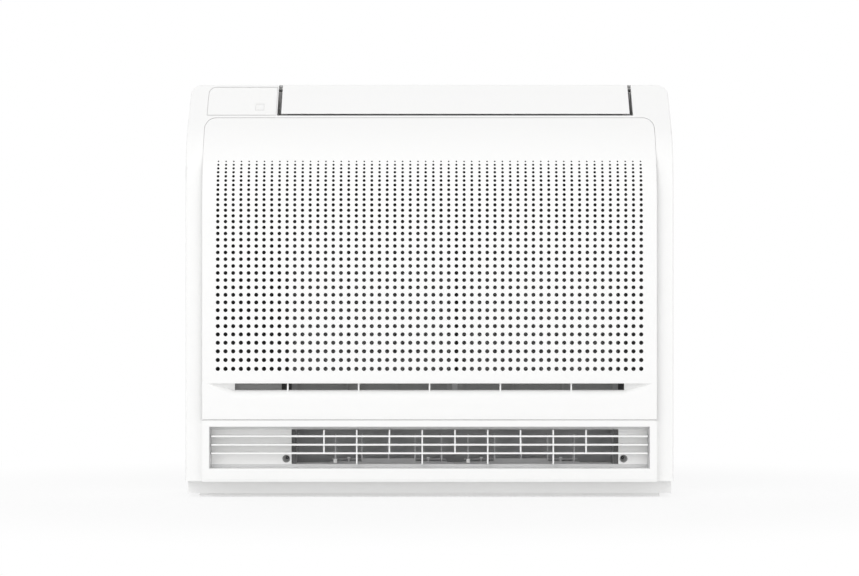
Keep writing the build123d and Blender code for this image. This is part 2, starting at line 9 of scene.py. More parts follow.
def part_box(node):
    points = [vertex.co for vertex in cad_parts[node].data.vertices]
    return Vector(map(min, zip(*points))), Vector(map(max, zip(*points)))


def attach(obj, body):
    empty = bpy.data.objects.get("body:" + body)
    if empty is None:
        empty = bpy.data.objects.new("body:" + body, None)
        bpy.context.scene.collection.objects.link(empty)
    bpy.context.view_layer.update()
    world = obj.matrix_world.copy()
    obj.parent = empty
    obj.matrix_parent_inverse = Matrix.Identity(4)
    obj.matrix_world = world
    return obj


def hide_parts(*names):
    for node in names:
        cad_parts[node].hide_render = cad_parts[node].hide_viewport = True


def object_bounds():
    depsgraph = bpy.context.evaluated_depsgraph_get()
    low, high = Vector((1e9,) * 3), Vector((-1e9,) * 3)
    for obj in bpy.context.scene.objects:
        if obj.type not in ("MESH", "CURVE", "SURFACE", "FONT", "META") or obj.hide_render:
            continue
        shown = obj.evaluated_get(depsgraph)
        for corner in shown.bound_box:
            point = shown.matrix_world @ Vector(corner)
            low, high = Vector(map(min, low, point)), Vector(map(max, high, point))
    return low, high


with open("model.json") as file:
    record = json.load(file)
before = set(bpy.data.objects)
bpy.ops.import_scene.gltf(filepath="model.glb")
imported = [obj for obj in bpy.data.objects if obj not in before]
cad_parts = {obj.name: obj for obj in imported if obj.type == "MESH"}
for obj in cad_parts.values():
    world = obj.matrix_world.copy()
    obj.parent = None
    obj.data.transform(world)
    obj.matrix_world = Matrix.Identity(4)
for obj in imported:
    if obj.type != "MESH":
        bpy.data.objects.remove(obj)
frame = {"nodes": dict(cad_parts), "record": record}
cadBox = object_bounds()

scene = bpy.context.scene
nodes = frame["nodes"]
partSlot = {part["node"]: part["material_slot"] for part in frame["record"]["subparts"]}
print("frame loaded:", len(nodes), "nodes")


# Shader helpers: an input takes a socket or a plain value
def setInput(tree, socket, value):
    if isinstance(value, bpy.types.NodeSocket):
        tree.links.new(value, socket)
    else:
        socket.default_value = value


def addNode(tree, kind, **inputs):
    node = tree.nodes.new(kind)
    for name, value in inputs.items():
        setInput(tree, node.inputs[name], value)
    return node


def addMath(tree, operation, *values):
    node = tree.nodes.new("ShaderNodeMath")
    node.operation = operation
    for socket, value in zip(node.inputs, values):
        setInput(tree, socket, value)
    return node.outputs[0]


def addBlend(tree, factor, first, second):
    # a mix of two colours, each a socket or a plain triple
    mix = tree.nodes.new("ShaderNodeMix")
    mix.data_type = "RGBA"
    setInput(tree, mix.inputs["Factor"], factor)
    for name, colour in (("A", first), ("B", second)):
        setInput(tree, mix.inputs[name], (*colour, 1) if isinstance(colour, tuple) else colour)
    return mix.outputs["Result"]


def addRange(tree, value, low, high):
    node = addNode(tree, "ShaderNodeMapRange", **{"Value": value, "To Min": low, "To Max": high})
    return node.outputs["Result"]


def addBump(tree, height, strength, depth):
    node = addNode(tree, "ShaderNodeBump", Strength=strength, Distance=depth, Height=height)
    return node.outputs["Normal"]


def placeOf(tree, kind="Object"):
    return tree.nodes.new("ShaderNodeTexCoord").outputs[kind]


def splitPlace(tree, kind="Object"):
    return addNode(tree, "ShaderNodeSeparateXYZ", Vector=placeOf(tree, kind)).outputs


def addGroup(tree, group, **inputs):
    node = tree.nodes.new("ShaderNodeGroup")
    node.node_tree = group
    for name, value in inputs.items():
        setInput(tree, node.inputs[name], value)
    return node.outputs


def newGroup(name, inputs, outputs):
    group = bpy.data.node_groups.new(name, "ShaderNodeTree")
    for label, value in inputs.items():
        socket = group.interface.new_socket(label, in_out="INPUT", socket_type="NodeSocketFloat")
        socket.default_value = value
    for label in outputs:
        group.interface.new_socket(label, in_out="OUTPUT", socket_type="NodeSocketFloat")
    return group, group.nodes.new("NodeGroupInput").outputs, group.nodes.new("NodeGroupOutput").inputs


def newMaterial(name):
    material = bpy.data.materials.new(name)
    material.use_nodes = True
    return material, material.node_tree, material.node_tree.nodes["Principled BSDF"]


def linkShader(tree, shader, sources):
    for name, socket in sources.items():
        tree.links.new(socket, shader.inputs[name])


# Fine spark-eroded grain of moulded plastic, with a slow drift in tone
grainNoise = {
    "Grain": {"scale": 1400.0, "detail": 2.0, "rough": 0.6, "output": "Height"},
    "Drift": {"scale": 9.0, "detail": 3.0, "rough": 0.5, "output": "Mottle"},
}


def makeMouldGrain():
    scales = {label: noise["scale"] for label, noise in grainNoise.items()}
    outputs = [noise["output"] for noise in grainNoise.values()]
    group, source, result = newGroup("mouldGrain", scales, outputs)
    place = placeOf(group)
    for label, look in grainNoise.items():
        noise = addNode(group, "ShaderNodeTexNoise", Detail=look["detail"], Roughness=look["rough"])
        group.links.new(place, noise.inputs["Vector"])
        group.links.new(source[label], noise.inputs["Scale"])
        group.links.new(noise.outputs["Fac"], result[look["output"]])
    return group


mouldGrain = makeMouldGrain()


# Mask of what lies further than half from a middle, along one axis of the object
def makeBeyondMask():
    start = {"Place": 0.0, "Middle": 0.0, "Half": 1.0}
    group, source, result = newGroup("beyondMask", start, ["Mask"])
    away = addMath(group, "ABSOLUTE", addMath(group, "SUBTRACT", source["Place"], source["Middle"]))
    group.links.new(addMath(group, "GREATER_THAN", away, source["Half"]), result["Mask"])
    return group


beyondMask = makeBeyondMask()


def paintBeyond(tree, colour, beyond):
    # second colour on what the mask takes in
    place = splitPlace(tree)[beyond["axis"]]
    mask = addGroup(tree, beyondMask, Place=place, Middle=beyond["middle"], Half=beyond["half"])
    return addBlend(tree, mask["Mask"], colour, beyond["colour"])


# One moulded plastic: colour and gloss drift with the mottle, the grain goes into the bump
plasticBase = {"ior": 1.47, "specular": 0.5}


def makePlastic(name, look):
    material, tree, shader = newMaterial(name)
    shader.inputs["IOR"].default_value = plasticBase["ior"]
    shader.inputs["Specular IOR Level"].default_value = look.get("specular", plasticBase["specular"])
    grain = addGroup(tree, mouldGrain, Grain=look["grain"], Drift=look["drift"])
    colour = addBlend(tree, grain["Mottle"], look["colour"], look["shade"])
    for beyond in look.get("beyond", []):
        colour = paintBeyond(tree, colour, beyond)
    gloss = addRange(tree, grain["Mottle"], *look["rough"])
    normal = addBump(tree, grain["Height"], look["bump"], look["depth"])
    linkShader(tree, shader, {"Base Color": colour, "Roughness": gloss, "Normal": normal})
    return material


whitePlastic = {
    "colour": (0.935, 0.935, 0.93),
    "shade": (0.925, 0.925, 0.92),
    "rough": (0.40, 0.50),
    "grain": 1500.0,
    "drift": 7.0,
    "bump": 0.12,
    "depth": 0.00012,
}
# painted shade: the flap's ends and hinge pins near-black, like the shaded gap round them
pinShadePaint = {"axis": "X", "middle": 0.0377, "half": 0.2536, "colour": (0.1, 0.1, 0.1)}
flapPlastic = {**whitePlastic, "beyond": [pinShadePaint]}

# painted shade: the duct's front rim near-black, for the shade at the ends of the outlet window
rimShadePaint = {"axis": "Y", "middle": 0.0, "half": 0.0799, "colour": (0.12, 0.12, 0.12)}  # on the front rim
ductPlastic = {
    "colour": (0.59, 0.59, 0.595),
    "shade": (0.55, 0.55, 0.555),
    "rough": (0.55, 0.7),
    "grain": 1100.0,
    "drift": 14.0,
    "bump": 0.25,
    "depth": 0.0002,
    "beyond": [rimShadePaint],
}
paleCheeks = {"axis": "X", "middle": 0.0377, "half": 0.2470, "colour": (0.93, 0.93, 0.925)}
cheekPlastic = {**ductPlastic, "beyond": [paleCheeks]}  # the upper duct is white beside the flap

# painted shade: near-black on all above the foot, where the inside is seen only through the holes
aboveShadePaint = {"axis": "Z", "middle": 0.0, "half": 0.172, "colour": (0.04, 0.04, 0.04)}  # all but the foot
boxPlastic = {
    "colour": (0.36, 0.36, 0.36),
    "shade": (0.33, 0.33, 0.33),
    "rough": (0.5, 0.65),
    "grain": 900.0,
    "drift": 10.0,
    "bump": 0.3,
    "depth": 0.0002,
    "beyond": [aboveShadePaint],
}
# painted shade: the inner frame dark beside its post, grey only at the post's foot
sideShadePaint = {"axis": "X", "middle": 0.0365, "half": 0.012, "colour": (0.11, 0.11, 0.11)}
innerPlastic = {**ductPlastic, "beyond": [aboveShadePaint, sideShadePaint]}  # grey only at the foot of its post

vanePlastic = {
    "colour": (0.68, 0.68, 0.68),
    "shade": (0.64, 0.64, 0.645),
    "rough": (0.42, 0.55),
    "grain": 1800.0,
    "drift": 20.0,
    "bump": 0.12,
    "depth": 0.0001,
}
paleKnob = {"axis": "Y", "middle": 0.0, "half": 0.0712, "colour": (0.93, 0.93, 0.92)}
knobPlastic = {**vanePlastic, "beyond": [paleKnob]}
paleClips = {"axis": "Z", "middle": 0.0, "half": 0.0554, "colour": (0.93, 0.93, 0.92)}
railPlastic = {**vanePlastic, "beyond": [paleClips]}
# painted shade: vane plastic darkened for the cups deep in the outlet's bores
shadedCupPlastic = {**vanePlastic, "colour": (0.45, 0.45, 0.45), "shade": (0.42, 0.42, 0.42)}

# painted shade: near-black heads for the dark spot deep in each outlet bore
shadedScrewBlack = {
    "colour": (0.012, 0.012, 0.012),
    "shade": (0.008, 0.008, 0.008),
    "specular": 0.25,
    "rough": (0.6, 0.75),
    "grain": 3000.0,
    "drift": 60.0,
    "bump": 0.1,
    "depth": 0.00005,
}
receiverPlastic = {
    "colour": (0.925, 0.925, 0.92),
    "shade": (0.915, 0.915, 0.91),
    "rough": (0.16, 0.22),
    "grain": 2500.0,
    "drift": 30.0,
    "bump": 0.02,
    "depth": 0.00005,
}


# Filter: black net in a plastic frame; the net is the recessed sheet at the back of the frame.
# Grey at the foot, by the intake slot, fading to near-black upwards: painted shade that deepens towards the
# top
filterLook = {
    "frame": (0.04, 0.04, 0.042),
    "thread": (0.035, 0.035, 0.037),
    "gap": (0.012, 0.012, 0.012),
    "footFrame": (0.42, 0.42, 0.42),
    "footThread": (0.46, 0.46, 0.46),
    "footGap": (0.14, 0.14, 0.14),
    "shadeFade": [(0.0, 1.0), (0.09, 1.0), (0.13, 0.70), (0.45, 0.48), (0.75, 0.14), (0.90, 0.0)],
    "threadPitch": 0.0011,
    "sheet": 0.0009,
    "rough": 0.62,
    "bump": 0.5,
    "depth": 0.0003,
}


def shadeShare(tree, height, steps):
    # how much of the foot's grey is left at a share of its height; the rest is painted shade
    ramp = addNode(tree, "ShaderNodeValToRGB", Fac=height)
    stops = ramp.color_ramp.elements
    while len(stops) < len(steps):
        stops.new(0.5)
    for stop, (place, share) in zip(stops, steps):
        stop.position = place
        stop.color = (share, share, share, 1)
    return ramp.outputs["Color"]


def makeFilterSheet(look):
    material, tree, shader = newMaterial("filterSheet")
    shader.inputs["Roughness"].default_value = look["rough"]
    place = splitPlace(tree)
    strands = []
    for axis in ("X", "Z"):  # round threads both ways: |sin| of the place across them
        turn = addMath(tree, "MULTIPLY", place[axis], math.pi / look["threadPitch"])
        strands.append(addMath(tree, "ABSOLUTE", addMath(tree, "SINE", turn)))
    weave = addMath(tree, "MAXIMUM", *strands)
    low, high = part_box("air_filter_left")
    onSheet = addMath(tree, "GREATER_THAN", place["Y"], high.y - look["sheet"])  # 0 on the frame and ribs
    rise = {"Value": place["Z"], "From Min": low.z, "From Max": high.z}
    height = addNode(tree, "ShaderNodeMapRange", **rise).outputs["Result"]
    shadedTone = addBlend(tree, onSheet, look["frame"], addBlend(tree, weave, look["gap"], look["thread"]))
    footNet = addBlend(tree, weave, look["footGap"], look["footThread"])
    footTone = addBlend(tree, onSheet, look["footFrame"], footNet)
    # painted shade: grey at the foot, near-black higher up
    colour = addBlend(tree, shadeShare(tree, height, look["shadeFade"]), shadedTone, footTone)
    normal = addBump(tree, weave, look["bump"], look["depth"])
    linkShader(tree, shader, {"Base Color": colour, "Normal": normal})
    return material


# Sheet metals: hot-dip spangle on the bare back plate, a light orange peel on the painted pan
zincLook = {
    "colour": (0.62, 0.63, 0.64),
    "bright": (0.70, 0.71, 0.72),
    "flake": 85.0,
    "rough": (0.34, 0.52),
}
paintLook = {
    "colour": (0.92, 0.92, 0.915),
    "shade": (0.90, 0.90, 0.895),
    "peel": 420.0,
    "detail": 1.0,
    "rough": (0.3, 0.4),
    "bump": 0.15,
    "depth": 0.0004,
}


def makeZincSteel(look):
    material, tree, shader = newMaterial("zincSteel")
    shader.inputs["Metallic"].default_value = 1.0
    flake = addNode(tree, "ShaderNodeTexVoronoi", Scale=look["flake"], Vector=placeOf(tree))
    tone = addNode(tree, "ShaderNodeRGBToBW", Color=flake.outputs["Color"]).outputs["Val"]
    colour = addBlend(tree, tone, look["colour"], look["bright"])
    linkShader(tree, shader, {"Base Color": colour, "Roughness": addRange(tree, tone, *look["rough"])})
    return material


def makePaintedSteel(look):
    material, tree, shader = newMaterial("paintedSteel")
    noise = {"Scale": look["peel"], "Detail": look["detail"], "Vector": placeOf(tree)}
    peel = addNode(tree, "ShaderNodeTexNoise", **noise).outputs["Fac"]
    colour = addBlend(tree, peel, look["colour"], look["shade"])
    gloss = addRange(tree, peel, *look["rough"])
    normal = addBump(tree, peel, look["bump"], look["depth"])
    linkShader(tree, shader, {"Base Color": colour, "Roughness": gloss, "Normal": normal})
    return material


finish = {
    "white_plastic": makePlastic("whitePlastic", whitePlastic),
    "duct_plastic": makePlastic("ductPlastic", ductPlastic),
    "vane_plastic": makePlastic("vanePlastic", vanePlastic),
    "box_plastic": makePlastic("boxPlastic", boxPlastic),
    "receiver_plastic": makePlastic("receiverPlastic", receiverPlastic),
    "filter_sheet": makeFilterSheet(filterLook),
    "zinc_steel": makeZincSteel(zincLook),
    "screw_black": makePlastic("shadedScrewBlack", shadedScrewBlack),
    "cup_grey": makePlastic("shadedCupPlastic", shadedCupPlastic),
    "painted_steel": makePaintedSteel(paintLook),
}
for name, node in nodes.items():
    node.data.materials.clear()
    node.data.materials.append(finish[partSlot[name]])
ownFinish = [
    ("flapPlastic", flapPlastic, ["upper_flap"]),
    ("cheekPlastic", cheekPlastic, ["upper_duct"]),
    ("innerPlastic", innerPlastic, ["inner_frame"]),
    ("knobPlastic", knobPlastic, ["guide_vane_left_1", "guide_vane_right_1"]),
    ("railPlastic", railPlastic, ["vane_rail_left", "vane_rail_right"]),
]
for name, look, owners in ownFinish:
    material = makePlastic(name, look)
    for owner in owners:
        nodes[owner].data.materials[0] = material
print("finishes:", len(finish) + len(ownFinish))


# Mesh helpers
meshSet = {"shadeAngle": math.radians(32.0), "barSegments": 2, "edgeProfile": 0.5}
seatGap = 0.0003  # between the grille and the recess it stands in


def newPiece(name, bm, slot, own=None):
    mesh = bpy.data.meshes.new(name)
    bm.to_mesh(mesh)
    bm.free()
    piece = bpy.data.objects.new(name, mesh)
    scene.collection.objects.link(piece)
    mesh.materials.append(finish[own or slot])
    mesh.shade_smooth()
    mesh.set_sharp_from_angle(angle=meshSet["shadeAngle"])
    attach(piece, "console")
    return piece


def easeEdges(bm, edges, offset, segments):
    profile = meshSet["edgeProfile"]
    bmesh.ops.bevel(bm, geom=list(edges), offset=offset, segments=segments, profile=profile, affect="EDGES")


def ringQuads(bm, low, high):
    # a band of faces between two rings of the same count
    for step in range(len(low)):
        after = (step + 1) % len(low)
        bm.faces.new([low[step], low[after], high[after], high[step]])


def ringSolid(bm, rings):
    # bands from ring to ring, closed at both ends
    for low, high in zip(rings, rings[1:]):
        ringQuads(bm, low, high)
    bm.faces.new(rings[-1])
    bm.faces.new(rings[0][::-1])


def addBar(bm, low, high, bevel):
    # a straight bar with eased edges
    size = high - low
    place = Matrix.Translation((low + high) / 2) @ Matrix.Diagonal((*size, 1))
    made = bmesh.ops.create_cube(bm, size=1.0, matrix=place)
    edges = {edge for vert in made["verts"] for edge in vert.link_edges}
    easeEdges(bm, edges, bevel, meshSet["barSegments"])


# Front panel: one bowed skin with 56 x 34 round holes, the inlet groove and folded-back edges
panelShape = {
    "bend": 0.150,
    "lean": math.radians(53.0),
    "ridgeFromBack": 0.064,
    "topCorner": 0.016,
    "wall": 0.0024,
    "holeWall": 0.0013,
    "edgeRound": 0.0005,
    "edgeSegments": 3,
    "foldBack": 0.0125,
    "foldMin": 0.004,
    "footRows": (0.0, 0.010, 0.021),
    "slopeSteps": 6,
    "cornerSteps": 4,
    "weld": 1e-7,
    "touch": 1e-6,
}
holeField = {
    "columns": 56,
    "rows": 34,
    "columnPitch": 0.011,
    "topZ": 0.4825,
    "topPitch": 0.0054,
    "lowPitch": 0.01275,
    "topSize": 0.0024,
    "sizeGain": 0.0039,
    "sizePower": 0.40,
    "cellSteps": 3,
    "firstTurn": math.radians(225),  # towards the first corner of a hole's cell
    "margins": (0.0055, 0.011, 0.0142),
}
inletSlot = {
    "top": 0.1646,
    "height": 0.0096,
    "lip": 0.013,
    "half": 0.278,
    "rampEnd": 0.319,
    "lipSteps": 7,
    "roofSteps": 2,
    "edgeRound": 0.0007,
    "edgeSegments": 2,
    "dividerPitch": 0.1014,
    "dividers": 5,
    "dividerWidth": 0.0022,
    "dividerDepth": 0.007,
    "dividerEdge": 0.0003,
}
panelLow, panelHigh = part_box("front_panel")
panelHalf = panelHigh.x
ridgeReach = cadBox[1].y - panelShape["ridgeFromBack"] - panelLow.y
slopeDrop = ridgeReach / math.tan(panelShape["lean"])
bendZ = cadBox[1].z - slopeDrop - panelShape["bend"] * math.tan(panelShape["lean"] / 2)


def skinAt(z):
    # depth of the panel's skin at a height: upright, then bent, then on the slope
    bend, lean = panelShape["bend"], panelShape["lean"]
    rise = z - bendZ
    if rise <= 0:
        return panelLow.y
    if rise < bend * math.sin(lean):
        return panelLow.y + bend - math.sqrt(bend * bend - rise * rise)
    return panelLow.y + bend * (1 - math.cos(lean)) + (rise - bend * math.sin(lean)) * math.tan(lean)


def leanAt(z):
    # how far the skin leans back at a height
    rise = min(max(z - bendZ, 0.0), panelShape["bend"] * math.sin(panelShape["lean"]))
    return math.asin(rise / panelShape["bend"])


def heightAlong(s):
    # height on the skin after a distance along it, from the panel's lower edge
    flat = bendZ - panelLow.z
    if s <= flat:
        return panelLow.z + s
    turn = min((s - flat) / panelShape["bend"], panelShape["lean"])
    extra = s - flat - panelShape["bend"] * turn
    return bendZ + panelShape["bend"] * math.sin(turn) + extra * math.cos(panelShape["lean"])


def holeRows():
    # distances of the hole rows along the skin, from the lowest up, with each hole's diameter
    count = holeField["rows"]
    rise = holeField["topZ"] - bendZ
    s = bendZ - panelLow.z + panelShape["bend"] * math.asin(rise / panelShape["bend"])
    rows = []
    for number in range(count):
        share = number / (count - 1)
        size = holeField["topSize"] + holeField["sizeGain"] * share ** holeField["sizePower"]
        rows.append((s, size))
        step = (number + 0.5) / (count - 1)
        s -= holeField["topPitch"] + (holeField["lowPitch"] - holeField["topPitch"]) * step
    return rows[::-1]


cellSteps = holeField["cellSteps"]
cellStep = holeField["columnPitch"] / cellSteps
fieldHalf = holeField["columns"] * holeField["columnPitch"] / 2
fieldX = [-fieldHalf + step * cellStep for step in range(cellSteps * holeField["columns"] + 1)]
marginX = [fieldHalf + margin for margin in holeField["margins"]] + [panelHalf]
columnX = [-x for x in marginX[::-1]] + fieldX + marginX
slotEnd = min(fieldX, key=lambda x: abs(x - inletSlot["half"]))
holes = holeRows()


def grooveScale(x):
    # 1 along the open slot, falling to 0 at the end of each ramp
    past = abs(x) - slotEnd
    return min(1.0, max(0.0, 1.0 - past / (inletSlot["rampEnd"] - slotEnd)))


def groovePoint(x, part):
    # points of the groove's section, from its foot over the rolled lip and round to the front face again
    scale = grooveScale(x)
    lip = inletSlot["lip"] * scale
    low = inletSlot["top"] - inletSlot["height"] * scale
    kind, share = part
    if kind == "lip":
        turn = share * math.pi / 2
        return panelLow.y + lip * (1 - math.cos(turn)), low - lip + lip * math.sin(turn)
    return panelLow.y + lip * (1 - share), inletSlot["top"]


def cornerPlace(x, z):
    # rounds the grid off at the two top corners
    radius = panelShape["topCorner"]
    u = (abs(x) - panelHalf + radius) / radius
    v = (z - panelHigh.z + radius) / radius
    if u <= 0 or v <= 0:
        return x, z
    side = panelHalf - radius + radius * u * math.sqrt(1 - v * v / 2)
    return math.copysign(side, x), panelHigh.z - radius + radius * v * math.sqrt(1 - u * u / 2)


def evenSteps(low, high, steps):
    return [low + (high - low) * step / steps for step in range(steps)]


def panelRowList():
    # each row is a height on the skin, or a point of the groove's section
    lipSteps, roofSteps = inletSlot["lipSteps"], inletSlot["roofSteps"]
    rows = [("skin", panelLow.z + rise) for rise in panelShape["footRows"]]
    rows += [("lip", step / lipSteps) for step in range(lipSteps + 1)]
    rows += [("roof", step / roofSteps) for step in range(roofSteps + 1)]
    first = len(rows) + 1
    edges = [(a[0] + b[0]) / 2 for a, b in zip(holes, holes[1:])]
    edges = [2 * holes[0][0] - edges[0]] + edges + [2 * holes[-1][0] - edges[-1]]
    rows.append(("skin", (inletSlot["top"] + heightAlong(edges[0])) / 2))
    for low, high in zip(edges, edges[1:]):
        rows += [("skin", heightAlong(s)) for s in evenSteps(low, high, cellSteps)]
    last = heightAlong(edges[-1])
    cornerZ = panelHigh.z - panelShape["topCorner"]
    rows += [("skin", z) for z in evenSteps(last, cornerZ, panelShape["slopeSteps"])]
    rows += [("skin", z) for z in evenSteps(cornerZ, panelHigh.z, panelShape["cornerSteps"])]
    rows.append(("skin", panelHigh.z))
    return rows, first


panelRows, fieldFirst = panelRowList()
slotRow = panelRows.index(("roof", 0.0)) - 1  # the open band between lip and roof
fieldLast = fieldFirst + cellSteps * holeField["rows"]
fieldLeft = len(marginX)
lastRow, lastColumn = len(panelRows) - 1, len(columnX) - 1
fieldRight = lastColumn - fieldLeft


def foldRim(bm, weight, rim):
    # the rim folds straight back towards the case
    outline = []
    for vert in rim:
        if not outline or (vert.co - outline[-1].co).length > panelShape["weld"]:
            outline.append(vert)
    back = []
    foldY = panelLow.y + panelShape["foldBack"]
    for vert in outline:
        y = max(foldY, vert.co.y + panelShape["foldMin"])
        fold = bm.verts.new((vert.co.x, y, vert.co.z))
        fold[weight][0] = 1.0
        back.append(fold)
    ringQuads(bm, back, outline)
    bmesh.ops.remove_doubles(bm, verts=bm.verts, dist=panelShape["weld"])
    return {vert for vert in outline if vert.is_valid}


def onSlotMouth(vert):
    # on the upper front edge of the open slot
    touch = panelShape["touch"]
    onEdge = abs(vert.co.z - inletSlot["top"]) < touch and abs(vert.co.y - panelLow.y) < touch
    return onEdge and abs(vert.co.x) <= slotEnd + touch


def buildPanelSkin():
    bm = bmesh.new()
    weight = bm.verts.layers.deform.verify()  # group 0: full wall outside the holes; group 1: hole rims
    made = {}

    def corner(row, column):
        if (row, column) not in made:
            x = columnX[column]
            kind = panelRows[row]
            if kind[0] == "skin":
                x, z = cornerPlace(x, kind[1])
                y = skinAt(z)
            else:
                y, z = groovePoint(x, kind)
            vert = bm.verts.new((x, y, z))
            amid = fieldFirst < row < fieldLast and fieldLeft < column < fieldRight
            vert[weight][0] = 0.0 if amid else 1.0
            made[row, column] = vert
        return made[row, column]

    for row in range(lastRow):
        for column in range(lastColumn):
            inField = fieldFirst <= row < fieldLast and fieldLeft <= column < fieldRight
            middle = (columnX[column] + columnX[column + 1]) / 2
            inSlot = row == slotRow and abs(middle) < slotEnd
            if inField or inSlot:
                continue
            ring = [(row, column), (row, column + 1), (row + 1, column + 1), (row + 1, column)]
            bm.faces.new([corner(*place) for place in ring])

    # each hole sits in a cell of the grid, one rim point for each point round the cell
    cell = range(cellSteps)
    around = [(0, n) for n in cell] + [(n, cellSteps) for n in cell]
    around += [(cellSteps, cellSteps - n) for n in cell] + [(cellSteps - n, 0) for n in cell]
    for number, (along, size) in enumerate(holes):
        for column in range(holeField["columns"]):
            base = (fieldFirst + cellSteps * number, fieldLeft + cellSteps * column)
            outer = [corner(base[0] + up, base[1] + across) for up, across in around]
            x = -fieldHalf + (column + 0.5) * holeField["columnPitch"]
            inner = []
            for step in range(len(around)):
                turn = holeField["firstTurn"] + step * 2 * math.pi / len(around)
                z = heightAlong(along + size / 2 * math.sin(turn))
                vert = bm.verts.new((x + size / 2 * math.cos(turn), skinAt(z), z))
                vert[weight][1] = 1.0
                inner.append(vert)
            ringQuads(bm, outer, inner)

    rim = [(0, column) for column in range(lastColumn)]
    rim += [(row, lastColumn) for row in range(lastRow)]
    rim += [(lastRow, column) for column in range(lastColumn, 0, -1)]
    rim += [(row, 0) for row in range(lastRow, 0, -1)]
    outline = foldRim(bm, weight, [made[place] for place in rim])
    edges = [edge for edge in bm.edges if outline.issuperset(edge.verts) and len(edge.link_faces) == 2]
    easeEdges(bm, edges, panelShape["edgeRound"], panelShape["edgeSegments"])
    edges = [edge for edge in bm.edges if all(map(onSlotMouth, edge.verts)) and len(edge.link_faces) == 2]
    easeEdges(bm, edges, inletSlot["edgeRound"], inletSlot["edgeSegments"])
    bmesh.ops.recalc_face_normals(bm, faces=bm.faces)
    return bm


def thickenSkin(bm):
    # gives the skin its wall, thinner between the holes
    skin = bpy.data.meshes.new("panelSkin")
    bm.to_mesh(skin)
    bm.free()
    holder = bpy.data.objects.new("panelSkin", skin)
    scene.collection.objects.link(holder)
    thick = holder.modifiers.new("wall", "SOLIDIFY")
    thick.thickness = panelShape["wall"]
    thick.offset = -1.0
    thick.vertex_group = holder.vertex_groups.new(name="fullWall").name
    holder.vertex_groups.new(name="holeRim")
    thick.thickness_vertex_group = panelShape["holeWall"] / panelShape["wall"]
    thick.use_quality_normals = True
    ready = holder.evaluated_get(bpy.context.evaluated_depsgraph_get())
    bm = bmesh.new()
    bm.from_mesh(ready.to_mesh())
    frontCount = len(skin.vertices)
    bpy.data.objects.remove(holder)
    bpy.data.meshes.remove(skin)

    # the holes run straight back, the way the mould opens, so each back rim lies behind its front one
    weight = bm.verts.layers.deform.verify()
    bm.verts.ensure_lookup_table()
    for number in range(frontCount):
        front = bm.verts[number]
        if front[weight].get(1):
            wall = panelShape["holeWall"] / math.cos(leanAt(front.co.z))
            bm.verts[frontCount + number].co = front.co + Vector((0, wall, 0))
    return bm


def buildFrontPanel():
    bm = thickenSkin(buildPanelSkin())
    # upright dividers that stand in the open slot
    slotBack = panelLow.y + inletSlot["lip"]
    low = inletSlot["top"] - inletSlot["height"] - panelShape["wall"]
    half = inletSlot["dividerWidth"] / 2
    for number in range(inletSlot["dividers"]):
        x = (number - (inletSlot["dividers"] - 1) / 2) * inletSlot["dividerPitch"]
        start = Vector((x - half, slotBack - inletSlot["dividerDepth"], low))
        end = Vector((x + half, slotBack, inletSlot["top"] + panelShape["wall"] / 2))
        addBar(bm, start, end, inletSlot["dividerEdge"])
    panel = newPiece("frontPanel", bm, "white_plastic")
    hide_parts("front_panel")
    print("front panel:", len(panel.data.polygons), "faces")


buildFrontPanel()


# Pan-head screws with a cross recess: two deep in the outlet's bores, the rest on the back plate.
# The head's own sizes are shares of its radius or height
screwShape = {
    "sides": 32,
    "dome": 5,
    "skirt": 0.35,
    "crown": 0.72,
    "armWidth": 0.16,
    "armLength": 0.62,
    "leastSine": 1e-6,  # keeps the division off zero
    "recess": 0.45,
    "recessTaper": 0.75,
    "recessPoint": 0.2,
}
outletScrews = {"inset": 0.0076, "low": 0.0076, "depth": 0.0096, "radius": 0.0021, "height": 0.0012}
outletCups = {
    "rim": 0.0055,
    "lip": 0.0003,
    "foot": 0.0027,
    "outer": 0.0044,
    "depth": 0.0092,
    "floor": 0.0104,
    "inward": 0.0010,
    "rise": 0.0012,
}
backScrews = {"radius": 0.0038, "height": 0.0010, "side": 0.012, "edge": 0.030, "rows": 4, "top": 4}
screwTurns = [step * 2 * math.pi / screwShape["sides"] for step in range(screwShape["sides"])]


def crossReach(turn):
    # distance to the edge of a plus sign in one direction
    folded = abs((turn + math.pi / 4) % (math.pi / 2) - math.pi / 4)
    reach = screwShape["armLength"] / math.cos(folded)
    return min(reach, screwShape["armWidth"] / max(math.sin(folded), screwShape["leastSine"]))


def addScrew(bm, seat, out, radius, height):
    # a domed head on its seat, facing along out
    place = Matrix.Translation(seat) @ out.to_track_quat("Z", "Y").to_matrix().to_4x4()
    skirt, crown = screwShape["skirt"], screwShape["crown"]
    rings = []

    def ring(reach, z):
        points = [(reach(turn) * math.cos(turn), reach(turn) * math.sin(turn), z) for turn in screwTurns]
        rings.append([bm.verts.new(place @ Vector(point)) for point in points])

    ring(lambda turn: radius, 0.0)
    ring(lambda turn: radius, height * skirt)
    for step in range(1, screwShape["dome"]):
        lift = step / screwShape["dome"] * math.pi / 2
        inset = radius * (crown + (1 - crown) * math.cos(lift))
        ring(lambda turn: inset, height * (skirt + (1 - skirt) * math.sin(lift)))
    ring(lambda turn: radius * crossReach(turn), height)
    floor = height * (1 - screwShape["recess"]) - radius * screwShape["recessPoint"]
    ring(lambda turn: radius * crossReach(turn) * screwShape["recessTaper"], floor)
    ringSolid(bm, rings)


def addCup(bm, mouth, shift):
    # a tapered cup in a bore, its foot a little off the middle
    cup = outletCups
    rings = []
    for radius, depth, move in (
        (cup["outer"], cup["floor"], 0.0),
        (cup["rim"], cup["lip"], 0.0),
        (cup["rim"] - cup["lip"], cup["lip"], 0.0),
        (cup["foot"], cup["depth"], 1.0),
    ):
        middle = mouth + shift * move + Vector((0, depth, 0))
        places = [middle + radius * Vector((math.cos(turn), 0, math.sin(turn))) for turn in screwTurns]
        rings.append([bm.verts.new(place) for place in places])
    ringSolid(bm, rings)


